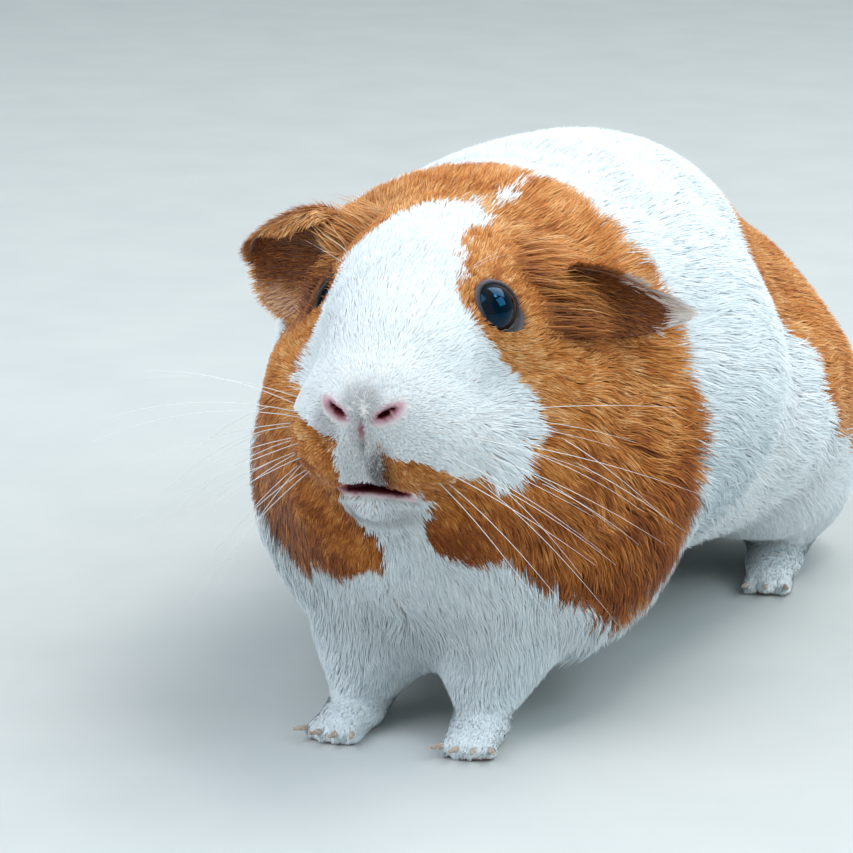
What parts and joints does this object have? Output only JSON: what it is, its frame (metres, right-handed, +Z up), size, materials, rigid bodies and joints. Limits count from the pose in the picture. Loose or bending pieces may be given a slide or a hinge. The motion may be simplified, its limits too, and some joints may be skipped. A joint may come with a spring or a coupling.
{
  "type": "guinea pig",
  "caption": "Short-coated pet guinea pig in ginger and white, standing on all fours with its head level, a still life-size model.",
  "frame": {"origin": "on the floor under the middle of the whole animal's box", "axes": "+Z up, -Y towards the animal's nose, +X towards its left side"},
  "size_m": [0.12, 0.2424, 0.1164],
  "materials": {
    "white_coat": "soft white fur",
    "ginger_coat": "soft ginger fur",
    "ear_skin": "thin, nearly bare brown skin",
    "eye_black": "wet black",
    "foot_skin": "pink skin under thin white hair",
    "claw_horn": "pale translucent horn"
  },
  "bodies": {
    "root": {"head": "white_coat", "lower_jaw": "ginger_coat", "neck": "ginger_coat", "trunk": "white_coat", "rump": "white_coat", "foreleg_left": "white_coat", "foreleg_right": "white_coat", "hindleg_left": "white_coat", "hindleg_right": "white_coat", "ear_left": "ear_skin", "ear_right": "ear_skin", "eye_left": "eye_black", "eye_right": "eye_black", "forefoot_left": "foot_skin", "forefoot_right": "foot_skin", "hindfoot_left": "foot_skin", "hindfoot_right": "foot_skin", "forefoot_left_claw_1": "claw_horn", "forefoot_left_claw_2": "claw_horn", "forefoot_left_claw_3": "claw_horn", "forefoot_left_claw_4": "claw_horn", "forefoot_right_claw_1": "claw_horn", "forefoot_right_claw_2": "claw_horn", "forefoot_right_claw_3": "claw_horn", "forefoot_right_claw_4": "claw_horn", "hindfoot_left_claw_1": "claw_horn", "hindfoot_left_claw_2": "claw_horn", "hindfoot_left_claw_3": "claw_horn", "hindfoot_right_claw_1": "claw_horn", "hindfoot_right_claw_2": "claw_horn", "hindfoot_right_claw_3": "claw_horn"}
  },
  "joints": []
}
